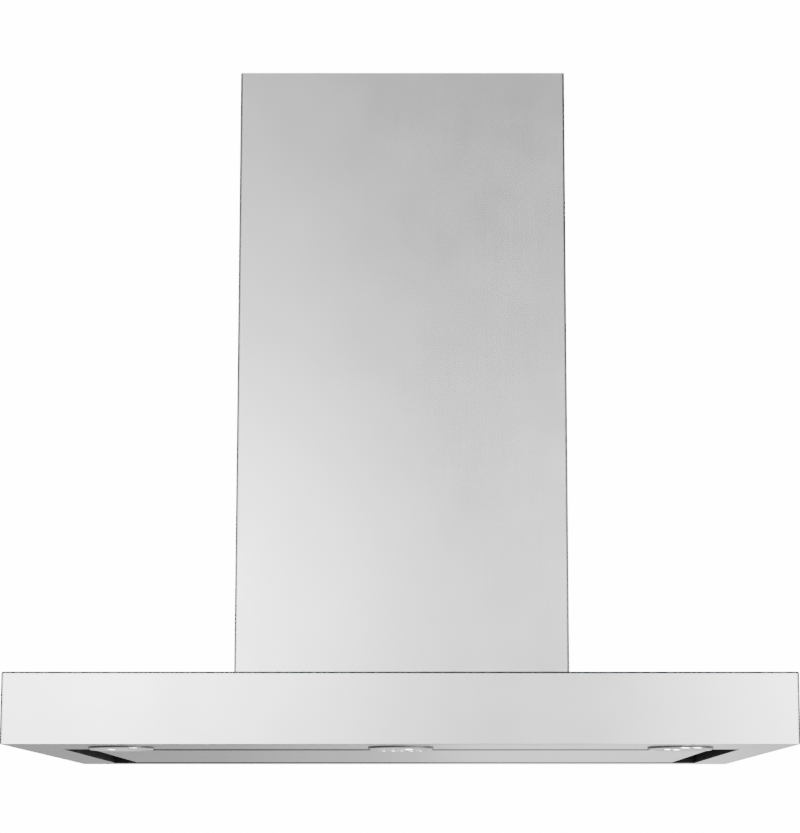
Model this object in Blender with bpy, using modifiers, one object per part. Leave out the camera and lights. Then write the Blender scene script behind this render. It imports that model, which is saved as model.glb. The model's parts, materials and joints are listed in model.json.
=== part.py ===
"""Island range hood: a shallow canopy with perimeter suction, hung from the ceiling on a telescopic frame.

Metres, +Z up. The origin is the centre of the ceiling plate's top face, on the axis of the duct hole.
The front of the hood faces -Y and +X is to its right. The hood is modelled pushed up as far as it goes.
"""
import math

import bmesh
import bpy
from mathutils import Matrix, Vector

# Overall size
CANOPY_WIDTH = 0.914
CANOPY_DEPTH = 0.700
CANOPY_HEIGHT = 0.083
CHIMNEY_WIDTH = 0.410
CHIMNEY_DEPTH = 0.330
TOTAL_HEIGHT = 0.855        # ceiling to the underside

# Sheet and clearances
SHEET = 0.0012
PLATE = 0.0020
FOLD_R = 0.0020             # outer radius of a folded edge
GAP = 0.0003                # between pieces that touch
SLIDING_GAP = 0.0008        # between the two chimney covers

# Heights that the rest is set out from
UNDERSIDE = -TOTAL_HEIGHT
CANOPY_TOP = UNDERSIDE + CANOPY_HEIGHT
FRAME_TOP = UNDERSIDE + SHEET           # upper face of the perimeter frame
SHELF_BOTTOM = UNDERSIDE + 0.0288
SHELF_TOP = SHELF_BOTTOM + SHEET

# Intake opening in the underside, and the panel that leaves a slot all round it
SIDE_STRIP = 0.050
FRONT_STRIP = 0.150
REAR_STRIP = 0.054
SLOT = 0.035
INTAKE_X = CANOPY_WIDTH / 2 - SIDE_STRIP
INTAKE_FRONT = -CANOPY_DEPTH / 2 + FRONT_STRIP
INTAKE_REAR = CANOPY_DEPTH / 2 - REAR_STRIP
PANEL_X = INTAKE_X - SLOT
PANEL_FRONT = INTAKE_FRONT + SLOT
PANEL_REAR = INTAKE_REAR - SLOT
PANEL_RIM = 0.0090           # height of the stiffening rim behind the panel
PANEL_RIM_INSET = 0.026      # from the panel's edge to that rim

# Panel hinge
HINGE_X = 0.260
HINGE_Y = PANEL_REAR - 0.0065
HINGE_Z = UNDERSIDE + 0.0080
HINGE_PIN_R = 0.0022

# Filters
FILTER_CENTRE_X = 0.175
FILTER_HALF_X = 0.165
FILTER_FRONT = PANEL_FRONT + 0.020
FILTER_REAR = PANEL_REAR - 0.020
FILTER_HEIGHT = 0.009
FILTER_TOP = SHELF_BOTTOM - GAP
FILTER_BOTTOM = FILTER_TOP - FILTER_HEIGHT

# Lamps and control, three round fittings in the front strip
FITTING_X = 0.328
FITTING_Y = -CANOPY_DEPTH / 2 + 0.084
FITTING_R = 0.0375
FITTING_HOLE_R = 0.0330
FITTING_NECK_R = 0.0325
BUTTON_PITCH = 0.0107
BUTTON_R = 0.0043
BUTTON_COUNT = 5

# Frame legs
LEG_X = 0.1960
LEG_Y = 0.1560
UPPER_FLANGE = 0.030
LOWER_FLANGE = 0.026
LEG_NEST = PLATE + 0.0005
UPPER_LEG_END = -0.380
LOWER_LEG_END = -0.060
UPPER_COVER_END = -0.340

# Ceiling plate
CEILING_PLATE_T = 0.003
DUCT_HOLE_R = 0.0825

# Blower
CASING_X = 0.160
CASING_Y = 0.150
CASING_TOP = -0.464
CASING_T = 0.0015
WHEEL_Y = -0.050
WHEEL_Z = -0.625
WHEEL_R = 0.070
WHEEL_BORE_R = 0.055
WHEEL_HALF = 0.068
SCROLL_HALF = 0.075
SCROLL_START_R = 0.078
SCROLL_END_R = 0.118
SCROLL_START = math.radians(60)
INLET_R = 0.058
MOTOR_R = 0.042
SHAFT_R = 0.004

# Outlet collar and backdraught damper
COLLAR_R = 0.0750
COLLAR_T = 0.0015
COLLAR_TOP = -0.400
DAMPER_Z = -0.4455
DAMPER_ROD_R = 0.0020
KNUCKLE_R = 0.0033
FLAP_R = 0.0700
FLAP_T = 0.0012

# Colours: base colour, metallic, roughness
FINISHES = {
    "stainless": ((0.56, 0.56, 0.57), 1.0, 0.32),
    "galvanised": ((0.46, 0.48, 0.50), 1.0, 0.48),
    "aluminium": ((0.72, 0.73, 0.74), 1.0, 0.38),
    "chrome": ((0.80, 0.80, 0.82), 1.0, 0.08),
    "lamp_glass": ((0.92, 0.93, 0.92), 0.0, 0.10),
    "black_plastic": ((0.03, 0.03, 0.03), 0.0, 0.45),
    "grey_plastic": ((0.20, 0.21, 0.22), 0.0, 0.50),
    "white_plastic": ((0.75, 0.75, 0.73), 0.0, 0.45),
    "button_metal": ((0.66, 0.66, 0.68), 1.0, 0.22),
    "motor_steel": ((0.34, 0.35, 0.37), 1.0, 0.42),
    "cable_sheath": ((0.05, 0.05, 0.055), 0.0, 0.55),
}


def clear_scene():
    """Remove every object of the open file."""
    for item in list(bpy.data.objects):
        bpy.data.objects.remove(item, do_unlink=True)


def new_collection(name):
    group = bpy.data.collections.new(name)
    bpy.context.scene.collection.children.link(group)
    return group


def finish(name):
    """The material of one finish, made at its first use."""
    found = bpy.data.materials.get(name)
    if found:
        return found
    colour, metallic, roughness = FINISHES[name]
    made = bpy.data.materials.new(name)
    made.use_nodes = True
    shader = made.node_tree.nodes["Principled BSDF"]
    shader.inputs["Base Color"].default_value = (*colour, 1.0)
    shader.inputs["Metallic"].default_value = metallic
    shader.inputs["Roughness"].default_value = roughness
    return made


def add_object(name, data, look, group=None, location=(0, 0, 0)):
    item = bpy.data.objects.new(name, data)
    (group or PARTS).objects.link(item)
    item.location = location
    if look:
        data.materials.append(finish(look))
    return item


def box(name, low, high, look=None, group=None):
    """A box between two corners, with its origin at its centre."""
    low, high = Vector(low), Vector(high)
    size = high - low
    mesh = bpy.data.meshes.new(name)
    shape = bmesh.new()
    bmesh.ops.create_cube(shape, size=1.0, matrix=Matrix.Diagonal((*size, 1.0)))
    shape.to_mesh(mesh)
    shape.free()
    return add_object(name, mesh, look, group, (low + high) / 2)


def open_tray(name, low, high, thickness, look, opens_down, fold_radius=0.0):
    """A sheet box with one face left out, below or above, thickened inwards."""
    item = box(name, low, high, look)
    shape = bmesh.new()
    shape.from_mesh(item.data)
    sign = -1 if opens_down else 1
    lost = [face for face in shape.faces if face.normal.z * sign > 0.9]
    bmesh.ops.delete(shape, geom=lost, context="FACES")
    shape.to_mesh(item.data)
    shape.free()
    if fold_radius:
        bend = item.modifiers.new("folds", "BEVEL")
        bend.width = fold_radius
        bend.segments = 3
    shell = item.modifiers.new("sheet", "SOLIDIFY")
    shell.thickness = thickness
    shell.offset = -1
    shell.use_even_offset = True
    return item


def cylinder(name, radius, start, end, look=None, group=None, sides=24):
    """A cylinder from one point to another."""
    start, end = Vector(start), Vector(end)
    mesh = bpy.data.meshes.new(name)
    shape = bmesh.new()
    bmesh.ops.create_cone(shape, cap_ends=True, segments=sides, radius1=radius, radius2=radius,
                          depth=(end - start).length)
    shape.to_mesh(mesh)
    shape.free()
    item = add_object(name, mesh, look, group, (start + end) / 2)
    item.rotation_euler = (end - start).to_track_quat("Z", "Y").to_euler()
    shade_round(item)
    return item


def shade_round(item):
    item.data.shade_smooth()
    item.data.set_sharp_from_angle(angle=math.radians(35))


def turned(name, profile, look, location=(0, 0, 0), sides=32, group=None, closed=True):
    """A profile of (radius, height) turned about its own Z axis.

    The profile runs down its outer side. A closed one makes a ring, and an open one starts and
    ends on the axis.
    """
    mesh = bpy.data.meshes.new(name)
    count = len(profile)
    edges = [(i, i + 1) for i in range(count - 1)]
    if closed:
        edges.append((count - 1, 0))
    mesh.from_pydata([(radius, 0, height) for radius, height in profile], edges, [])
    item = add_object(name, mesh, look, group, location)
    screw = item.modifiers.new("turned", "SCREW")
    screw.steps = sides
    screw.render_steps = sides
    screw.use_merge_vertices = True
    screw.merge_threshold = 0.00001
    screw.use_smooth_shade = True
    return item


PLANES = {
    "XY": (0.0, 0.0, 0.0),
    "XZ": (math.pi / 2, 0.0, 0.0),
    "YZ": (math.pi / 2, 0.0, math.pi / 2),
}


def outline(name, rings, thickness, look, location=(0, 0, 0), plane="XY", group=None):
    """A flat outline with holes, extruded by half its thickness to each side of its plane."""
    curve = bpy.data.curves.new(name, "CURVE")
    curve.dimensions = "2D"
    curve.fill_mode = "BOTH"
    curve.extrude = thickness / 2
    for ring in rings:
        spline = curve.splines.new("POLY")
        spline.points.add(len(ring) - 1)
        for point, (u, v) in zip(spline.points, ring):
            point.co = (u, v, 0, 1)
        spline.use_cyclic_u = True
    item = add_object(name, curve, look, group, location)
    item.rotation_euler = PLANES[plane]
    return item


def as_mesh(item):
    """Swap a curve object for the closed mesh that it makes."""
    bpy.context.view_layer.update()
    graph = bpy.context.evaluated_depsgraph_get()
    mesh = bpy.data.meshes.new_from_object(item.evaluated_get(graph))
    shape = bmesh.new()
    shape.from_mesh(mesh)
    bmesh.ops.remove_doubles(shape, verts=shape.verts, dist=0.00001)
    bmesh.ops.dissolve_limit(shape, angle_limit=0.001, verts=shape.verts, edges=shape.edges)
    shape.to_mesh(mesh)
    shape.free()
    name = item.name
    place = item.matrix_world.copy()
    group = item.users_collection[0]
    bpy.data.objects.remove(item, do_unlink=True)
    mesh.name = name
    swapped = bpy.data.objects.new(name, mesh)
    group.objects.link(swapped)
    swapped.matrix_world = place
    return swapped


def boolean(item, tool, operation):
    step = item.modifiers.new(operation.lower(), "BOOLEAN")
    step.operation = operation
    step.object = tool
    tool.hide_render = True
    tool.display_type = "WIRE"


def cut(item, tool):
    boolean(item, tool, "DIFFERENCE")


def fuse(item, tool):
    boolean(item, tool, "UNION")


def rectangle(x0, y0, x1, y1):
    return [(x0, y0), (x1, y0), (x1, y1), (x0, y1)]


def circle(radius, x=0.0, y=0.0, sides=32):
    turn = 2 * math.pi / sides
    return [(x + radius * math.cos(i * turn), y + radius * math.sin(i * turn)) for i in range(sides)]


def fold(x, y, sign_x, sign_y, radius, steps=4):
    """Round corner of an outline: from the side along Y to the side along X, bulging to the corner."""
    arc = []
    for step in range(steps + 1):
        angle = math.pi / 2 * step / steps
        along_x = radius * (1 - math.cos(angle))
        along_y = radius * (1 - math.sin(angle))
        arc.append((x - sign_x * along_x, y - sign_y * along_y))
    return arc


def side_name(sign):
    return "right" if sign > 0 else "left"


def end_name(sign):
    return "rear" if sign > 0 else "front"


# Ceiling frame ------------------------------------------------------------------------------------

def ceiling_plate():
    """Plate with the duct hole, four lag holes and a folded tab each side that the covers hang on."""
    half_x = CHIMNEY_WIDTH / 2 - 2 * SHEET - SLIDING_GAP - GAP
    half_y = CHIMNEY_DEPTH / 2 - 2 * SHEET - SLIDING_GAP - GAP
    rings = [rectangle(-half_x, -half_y, half_x, half_y), circle(DUCT_HOLE_R)]
    for x in (-0.120, 0.120):
        for y in (-0.130, 0.130):
            rings.append(circle(0.0045, x, y, sides=12))
    plate = as_mesh(outline("ceiling_plate", rings, CEILING_PLATE_T, "galvanised",
                            (0, 0, -CEILING_PLATE_T / 2)))
    for sign in (-1, 1):
        inner = sign * (half_x - PLATE)
        outer = sign * half_x
        tab = box(f"tab_{side_name(sign)}", (min(inner, outer), -0.050, -0.025),
                  (max(inner, outer), 0.050, -CEILING_PLATE_T / 2), group=TOOLS)
        fuse(plate, tab)


def angle_leg(name, sign_x, sign_y, inset, flange, low, high):
    """An L-section leg whose corner points outwards."""
    x = LEG_X - inset
    y = LEG_Y - inset
    corner = [(x, y), (x - flange, y), (x - flange, y - PLATE), (x - PLATE, y - PLATE),
              (x - PLATE, y - flange), (x, y - flange)]
    ring = [(sign_x * u, sign_y * v) for u, v in corner]
    return outline(name, [ring], high - low, "galvanised", (0, 0, (low + high) / 2))


def legs():
    """Upper legs with a row of clamp holes, and the lower legs that telescope inside them."""
    for sign_x in (-1, 1):
        for sign_y in (-1, 1):
            place = f"{end_name(sign_y)}_{side_name(sign_x)}"
            upper = as_mesh(angle_leg(f"upper_leg_{place}", sign_x, sign_y, 0, UPPER_FLANGE,
                                      UPPER_LEG_END, -CEILING_PLATE_T - GAP))
            for step in range(4):
                height = UPPER_LEG_END + 0.025 + step * 0.050
                hole_x = sign_x * (LEG_X - 0.018)
                hole = cylinder(f"clamp_hole_{place}_{step}", 0.0035,
                                (hole_x, sign_y * (LEG_Y - 0.010), height),
                                (hole_x, sign_y * (LEG_Y + 0.010), height), group=TOOLS, sides=10)
                cut(upper, hole)
            angle_leg(f"lower_leg_{place}", sign_x, sign_y, LEG_NEST, LOWER_FLANGE,
                      CANOPY_TOP + GAP, LOWER_LEG_END)


def cover_half(name, half_x, half_y, sign, low, high):
    """One U-shaped half of a chimney cover, whose seam is halfway along the sides."""
    seam = GAP / 2
    inner_x = half_x - SHEET
    inner_y = half_y - SHEET
    inner_r = FOLD_R - SHEET
    ring = [(-half_x, sign * seam)]
    ring += fold(-half_x, sign * half_y, -1, sign, FOLD_R)
    ring += reversed(fold(half_x, sign * half_y, 1, sign, FOLD_R))
    ring += [(half_x, sign * seam), (inner_x, sign * seam)]
    ring += fold(inner_x, sign * inner_y, 1, sign, inner_r)
    ring += reversed(fold(-inner_x, sign * inner_y, -1, sign, inner_r))
    ring.append((-inner_x, sign * seam))
    outline(name, [ring], high - low, "stainless", (0, 0, (low + high) / 2))


def chimney_covers():
    inset = SHEET + SLIDING_GAP
    for sign in (-1, 1):
        cover_half(f"upper_cover_{end_name(sign)}", CHIMNEY_WIDTH / 2 - inset,
                   CHIMNEY_DEPTH / 2 - inset, sign, UPPER_COVER_END, -0.0008)
        cover_half(f"lower_cover_{end_name(sign)}", CHIMNEY_WIDTH / 2, CHIMNEY_DEPTH / 2, sign,
                   CANOPY_TOP + GAP, -0.0010)


# Canopy -------------------------------------------------------------------------------------------

def canopy_shell():
    """Top and four walls, open below, with the opening under the blower casing."""
    shell = open_tray("canopy_shell", (-CANOPY_WIDTH / 2, -CANOPY_DEPTH / 2, UNDERSIDE),
                      (CANOPY_WIDTH / 2, CANOPY_DEPTH / 2, CANOPY_TOP), SHEET, "stainless", True, FOLD_R)
    hole = box("casing_opening", (-0.150, -0.140, CANOPY_TOP - 0.010),
               (0.150, 0.140, CANOPY_TOP + 0.010), group=TOOLS)
    cut(shell, hole)


def bottom_frame():
    """Flat frame round the intake, with three round holes in its front strip."""
    half_x = CANOPY_WIDTH / 2 - SHEET - GAP
    half_y = CANOPY_DEPTH / 2 - SHEET - GAP
    rings = [rectangle(-half_x, -half_y, half_x, half_y),
             rectangle(-INTAKE_X, INTAKE_FRONT, INTAKE_X, INTAKE_REAR)]
    for x in (-FITTING_X, 0, FITTING_X):
        rings.append(circle(FITTING_HOLE_R, x, FITTING_Y, sides=32))
    outline("bottom_frame", rings, SHEET, "stainless", (0, 0, UNDERSIDE + SHEET / 2))


def cavity_wall():
    """Upright wall round the intake, from the frame up to the filter shelf."""
    low = FRAME_TOP + GAP
    high = SHELF_BOTTOM - GAP
    rings = [rectangle(-INTAKE_X - SHEET, INTAKE_FRONT - SHEET, INTAKE_X + SHEET, INTAKE_REAR + SHEET),
             rectangle(-INTAKE_X, INTAKE_FRONT, INTAKE_X, INTAKE_REAR)]
    outline("cavity_wall", rings, high - low, "black_plastic", (0, 0, (low + high) / 2))


def filter_shelf():
    """Plate with two filter openings and a slotted flange along the front and rear of the filters."""
    shelf = box("filter_shelf", (-INTAKE_X - 0.003, INTAKE_FRONT - 0.003, SHELF_BOTTOM),
                (INTAKE_X + 0.003, INTAKE_REAR + 0.003, SHELF_TOP), "black_plastic")
    low = FILTER_BOTTOM - 0.0070
    middle = (SHELF_BOTTOM + SHELF_TOP) / 2
    front = box("shelf_front_flange", (-0.345, FILTER_FRONT - 0.0025, low),
                (0.345, FILTER_FRONT - 0.0013, middle), group=TOOLS)
    rear = box("shelf_rear_flange", (-0.345, FILTER_REAR + 0.0043, low),
               (0.345, FILTER_REAR + 0.0055, middle), group=TOOLS)
    fuse(shelf, front)
    fuse(shelf, rear)
    for sign in (-1, 1):
        centre = sign * FILTER_CENTRE_X
        opening = box(f"shelf_opening_{side_name(sign)}",
                      (centre - FILTER_HALF_X + 0.012, FILTER_FRONT + 0.015, SHELF_BOTTOM - 0.005),
                      (centre + FILTER_HALF_X - 0.012, FILTER_REAR - 0.015, SHELF_TOP + 0.005), group=TOOLS)
        cut(shelf, opening)
        tongue_slot = box(f"tongue_slot_{side_name(sign)}",
                          (centre - 0.0210, FILTER_FRONT - 0.0050, FILTER_BOTTOM - 0.0030),
                          (centre + 0.0210, FILTER_FRONT - 0.0005, FILTER_BOTTOM + 0.0003), group=TOOLS)
        cut(shelf, tongue_slot)
        for offset in (-0.100, 0.100):
            tab_slot = box(f"tab_slot_{side_name(sign)}_{side_name(offset)}",
                           (centre + offset - 0.0105, FILTER_REAR + 0.0020, FILTER_BOTTOM - 0.0005),
                           (centre + offset + 0.0105, FILTER_REAR + 0.0080, FILTER_TOP + 0.0001),
                           group=TOOLS)
            cut(shelf, tab_slot)


def filters():
    """Two grease filters: frame with rear tabs, mesh pack, and a sprung latch in a slot of the frame."""
    middle = (FILTER_TOP + FILTER_BOTTOM) / 2
    border = 0.014
    front_border = 0.026
    for sign in (-1, 1):
        centre = sign * FILTER_CENTRE_X
        outer = [(-FILTER_HALF_X, FILTER_FRONT), (FILTER_HALF_X, FILTER_FRONT),
                 (FILTER_HALF_X, FILTER_REAR)]
        for tab_x in (0.100, -0.100):
            outer += [(tab_x + 0.010, FILTER_REAR), (tab_x + 0.010, FILTER_REAR + 0.0070),
                      (tab_x - 0.010, FILTER_REAR + 0.0070), (tab_x - 0.010, FILTER_REAR)]
        outer.append((-FILTER_HALF_X, FILTER_REAR))
        inner = rectangle(-FILTER_HALF_X + border, FILTER_FRONT + front_border,
                          FILTER_HALF_X - border, FILTER_REAR - border)
        slot = rectangle(-0.0032, FILTER_FRONT + 0.0055, 0.0032, FILTER_FRONT + 0.0195)
        outline(f"filter_frame_{side_name(sign)}", [outer, inner, slot], FILTER_HEIGHT, "aluminium",
                (centre, 0, middle))
        mesh_half_x = FILTER_HALF_X - border - GAP
        mesh_front = FILTER_FRONT + front_border + GAP
        mesh_rear = FILTER_REAR - border - GAP
        box(f"filter_mesh_{side_name(sign)}", (centre - mesh_half_x, mesh_front, FILTER_BOTTOM + 0.0015),
            (centre + mesh_half_x, mesh_rear, FILTER_TOP - 0.0015), "aluminium")
        filter_latch(side_name(sign), centre)


def filter_latch(side, centre):
    """Tongue, finger lip and the stem that runs in the frame's slot, in one plastic piece."""
    top = FILTER_BOTTOM - GAP
    bottom = top - 0.0020
    latch = box(f"filter_latch_{side}", (centre - 0.020, FILTER_FRONT - 0.0065, bottom),
                (centre + 0.020, FILTER_FRONT + 0.0250, top), "grey_plastic")
    lip = box(f"latch_lip_{side}", (centre - 0.018, FILTER_FRONT + 0.0225, bottom - 0.0035),
              (centre + 0.018, FILTER_FRONT + 0.0245, bottom + 0.0010), group=TOOLS)
    stem = box(f"latch_stem_{side}", (centre - 0.0025, FILTER_FRONT + 0.0060, top - 0.0010),
               (centre + 0.0025, FILTER_FRONT + 0.0110, top + 0.0075), group=TOOLS)
    fuse(latch, lip)
    fuse(latch, stem)


# Suction panel ------------------------------------------------------------------------------------

def suction_panel():
    """Flat panel with a stiffening rim set in from its edges, open at the hinges, and a hat channel."""
    panel = box("suction_panel", (-PANEL_X, PANEL_FRONT, UNDERSIDE),
                (PANEL_X, PANEL_REAR, UNDERSIDE + SHEET), "stainless")
    rim_x = PANEL_X - PANEL_RIM_INSET
    rim_front = PANEL_FRONT + PANEL_RIM_INSET
    rim_rear = PANEL_REAR - PANEL_RIM_INSET
    low = UNDERSIDE + SHEET / 2
    high = UNDERSIDE + PANEL_RIM
    rim = box("panel_rim", (-rim_x, rim_front, low), (rim_x, rim_rear, high), group=TOOLS)
    inside = box("panel_rim_inside", (-rim_x + SHEET, rim_front + SHEET, UNDERSIDE + SHEET),
                 (rim_x - SHEET, rim_rear - SHEET, high + 0.010), group=TOOLS)
    fuse(panel, rim)
    cut(panel, inside)
    for sign in (-1, 1):
        notch = box(f"hinge_notch_{side_name(sign)}",
                    (sign * HINGE_X - 0.018, rim_rear - 0.006, UNDERSIDE + SHEET),
                    (sign * HINGE_X + 0.018, rim_rear + 0.006, UNDERSIDE + 0.020), group=TOOLS)
        cut(panel, notch)
    hat = [(-0.020, 0.0), (-0.0088, 0.0), (-0.0088, 0.0058), (0.0088, 0.0058), (0.0088, 0.0),
           (0.020, 0.0), (0.020, SHEET), (0.0100, SHEET), (0.0100, 0.0070), (-0.0100, 0.0070),
           (-0.0100, SHEET), (-0.020, SHEET)]
    outline("panel_stiffener", [hat], 0.600, "galvanised", (0, 0.045, FRAME_TOP + GAP), "YZ")


def panel_hinges():
    """A fixed bracket with a welded pin and an arm with an eye, on each side."""
    for sign in (-1, 1):
        side = side_name(sign)
        x = sign * HINGE_X
        seat = SHELF_BOTTOM - GAP
        bracket = box(f"panel_hinge_bracket_{side}", (x - 0.010, HINGE_Y - 0.0045, seat - 0.0015),
                      (x + 0.010, HINGE_Y + 0.0200, seat), "galvanised")
        ear = box(f"bracket_ear_{side}", (x + 0.0025, HINGE_Y - 0.0045, HINGE_Z - 0.0045),
                  (x + 0.0045, HINGE_Y + 0.0045, seat - 0.0005), group=TOOLS)
        pin = cylinder(f"bracket_pin_{side}", HINGE_PIN_R, (x - 0.0040, HINGE_Y, HINGE_Z),
                       (x + 0.0035, HINGE_Y, HINGE_Z), group=TOOLS, sides=16)
        fuse(bracket, ear)
        fuse(bracket, pin)
        base = FRAME_TOP + GAP
        arm = box(f"panel_hinge_arm_{side}", (x - 0.0120, HINGE_Y - 0.0300, base),
                  (x + 0.0120, HINGE_Y - 0.0065, base + 0.0015), "galvanised")
        web = box(f"arm_web_{side}", (x - 0.0020, HINGE_Y - 0.0250, base + 0.0007),
                  (x + 0.0010, HINGE_Y, base + 0.0060), group=TOOLS)
        eye = cylinder(f"arm_eye_{side}", 0.0045, (x - 0.0020, HINGE_Y, HINGE_Z),
                       (x + 0.0010, HINGE_Y, HINGE_Z), group=TOOLS, sides=20)
        bore = cylinder(f"arm_bore_{side}", HINGE_PIN_R + GAP, (x - 0.0060, HINGE_Y, HINGE_Z),
                        (x + 0.0060, HINGE_Y, HINGE_Z), group=TOOLS, sides=16)
        fuse(arm, web)
        fuse(arm, eye)
        cut(arm, bore)


def panel_magnet():
    """Catch magnet that hangs from the shelf and holds the front of the panel."""
    box("panel_magnet", (-0.020, PANEL_FRONT + 0.0035, FRAME_TOP + GAP),
        (0.020, PANEL_FRONT + 0.0125, SHELF_BOTTOM - GAP), "black_plastic")


# Lamps and control --------------------------------------------------------------------------------

def bezel_profile(inner, neck_top):
    """Section of a round bezel: a bulged flange under the sheet and a neck through the hole."""
    seat = UNDERSIDE - GAP
    return [(FITTING_NECK_R, neck_top), (FITTING_NECK_R, seat), (FITTING_R, seat),
            (FITTING_R, seat - 0.0012), (FITTING_R - 0.0008, seat - 0.0026),
            (FITTING_R - 0.0024, seat - 0.0035), (inner + 0.0030, seat - 0.0035),
            (inner + 0.0008, seat - 0.0026), (inner, seat - 0.0012), (inner, neck_top)]


def lamps():
    """Two round lamps, each a bezel, a glass lens and a finned lamp body."""
    inner = 0.0295
    for sign in (-1, 1):
        side = side_name(sign)
        place = (sign * FITTING_X, FITTING_Y, 0)
        turned(f"lamp_bezel_{side}", bezel_profile(inner, UNDERSIDE + 0.0100), "chrome", place, sides=32)
        rim = inner - GAP
        lens = [(0, UNDERSIDE + 0.0010), (rim, UNDERSIDE + 0.0010), (rim, UNDERSIDE - 0.0008),
                (rim * 0.80, UNDERSIDE - 0.0016), (rim * 0.45, UNDERSIDE - 0.0022), (0, UNDERSIDE - 0.0024)]
        turned(f"lamp_lens_{side}", lens, "lamp_glass", place, sides=32, closed=False)
        body = [(0, UNDERSIDE + 0.0290), (0.0180, UNDERSIDE + 0.0290)]
        for fin in range(2):
            height = UNDERSIDE + 0.0250 - 0.0060 * fin
            body += [(0.0180, height), (rim, height), (rim, height - 0.0025), (0.0180, height - 0.0025)]
        body += [(0.0180, UNDERSIDE + 0.0110), (rim, UNDERSIDE + 0.0110), (rim, UNDERSIDE + 0.0013),
                 (0, UNDERSIDE + 0.0013)]
        turned(f"lamp_body_{side}", body, "aluminium", place, sides=20, closed=False)


def control():
    """Round control: a chrome cup with a hole for each button, the buttons and the switch housing."""
    place = (0, FITTING_Y, 0)
    seat = UNDERSIDE - GAP
    face = seat - 0.0035
    cup = [(FITTING_NECK_R, UNDERSIDE + 0.0090), (FITTING_NECK_R, seat), (FITTING_R, seat),
           (FITTING_R, seat - 0.0012), (FITTING_R - 0.0008, seat - 0.0026), (FITTING_R - 0.0024, face),
           (0, face), (0, face + 0.0015), (FITTING_NECK_R - 0.0012, face + 0.0015),
           (FITTING_NECK_R - 0.0012, UNDERSIDE + 0.0090)]
    bezel = turned("control_bezel", cup, "chrome", place, sides=32)
    for number in range(BUTTON_COUNT):
        x = (number - (BUTTON_COUNT - 1) / 2) * BUTTON_PITCH
        hole = cylinder(f"button_hole_{number + 1}", BUTTON_R + GAP, (x, FITTING_Y, face - 0.005),
                        (x, FITTING_Y, face + 0.005), group=TOOLS, sides=16)
        cut(bezel, hole)
        tip = face - 0.0017
        shape = [(0, UNDERSIDE + 0.0075), (0.0025, UNDERSIDE + 0.0075), (0.0025, face + 0.0028),
                 (BUTTON_R + 0.0008, face + 0.0028), (BUTTON_R + 0.0008, face + 0.0018),
                 (BUTTON_R, face + 0.0018), (BUTTON_R, tip + 0.0005), (BUTTON_R - 0.0007, tip), (0, tip)]
        turned(f"button_{number + 1}", shape, "button_metal", (x, FITTING_Y, 0), sides=16, closed=False)
    low = UNDERSIDE + 0.0096
    housing = [(0, low + 0.0200), (0.0280, low + 0.0200), (FITTING_NECK_R, low + 0.0160),
               (FITTING_NECK_R, low), (0, low)]
    turned("control_housing", housing, "black_plastic", place, sides=24, closed=False)


def lamp_driver():
    """Lamp driver that stands on the perimeter frame between the control and the right lamp."""
    box("lamp_driver", (0.110, -0.285, FRAME_TOP + GAP), (0.230, -0.235, FRAME_TOP + 0.0280),
        "white_plastic")


def smooth_route(points, per_span):
    """Points of a centripetal Catmull-Rom curve through the given ones."""
    knots = [Vector(point) for point in points]
    knots = [knots[0] * 2 - knots[1]] + knots + [knots[-1] * 2 - knots[-2]]
    route = []
    for a, b, c, d in zip(knots, knots[1:], knots[2:], knots[3:]):
        t1 = math.sqrt((b - a).length)
        t2 = t1 + math.sqrt((c - b).length)
        t3 = t2 + math.sqrt((d - c).length)
        for step in range(per_span):
            t = t1 + (t2 - t1) * step / per_span
            ab = a.lerp(b, t / t1)
            bc = b.lerp(c, (t - t1) / (t2 - t1))
            cd = c.lerp(d, (t - t2) / (t3 - t2))
            first = ab.lerp(bc, t / t2)
            last = bc.lerp(cd, (t - t1) / (t3 - t1))
            route.append(first.lerp(last, (t - t1) / (t2 - t1)))
    route.append(knots[-2])
    return route


def lead(name, points, radius=0.0022):
    """A short lead that is clipped along its whole way."""
    route = smooth_route(points, 3)
    curve = bpy.data.curves.new(name, "CURVE")
    curve.dimensions = "3D"
    curve.bevel_depth = radius
    curve.bevel_resolution = 2
    curve.use_fill_caps = True
    spline = curve.splines.new("POLY")
    spline.points.add(len(route) - 1)
    for point, place in zip(spline.points, route):
        point.co = (*place, 1)
    spline.use_smooth = True
    add_object(name, curve, "cable_sheath")


def leads():
    """A lead from each lamp and from the control, down into the driver's top."""
    rise = Vector((0, 0, 0.0050))
    lamp_top = UNDERSIDE + 0.0293
    control_top = UNDERSIDE + 0.0299
    driver_top = FRAME_TOP + 0.0283
    run = UNDERSIDE + 0.0440
    for sign in (-1, 1):
        start = Vector((sign * FITTING_X, FITTING_Y, lamp_top))
        end = Vector((0.150 if sign < 0 else 0.200, -0.260, driver_top))
        row = -0.285 if sign < 0 else -0.250
        inward = Vector((-sign * 0.030, 0, 0))
        lead(f"lamp_lead_{side_name(sign)}",
             [start, start + rise, Vector((start.x, row, run)) + inward, (start + end).to_2d().to_3d() / 2
              + Vector((0, row - (start.y + end.y) / 2, run)), Vector((end.x, row, run)) - inward,
              end + rise, end])
    start = Vector((0.010, FITTING_Y, control_top))
    end = Vector((0.126, -0.250, driver_top))
    lead("control_lead", [start, start + rise, (0.040, -0.248, run), (0.098, -0.250, run), end + rise, end])


# Blower -------------------------------------------------------------------------------------------

def blower_casing():
    """Box over the canopy's opening, open below, with the outlet hole in its top."""
    casing = open_tray("blower_casing", (-CASING_X, -CASING_Y, CANOPY_TOP + GAP),
                       (CASING_X, CASING_Y, CASING_TOP), CASING_T, "galvanised", True)
    hole = cylinder("casing_outlet", COLLAR_R - 0.003, (0, 0, CASING_TOP - 0.020),
                    (0, 0, CASING_TOP + 0.020), group=TOOLS, sides=32)
    cut(casing, hole)


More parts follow.
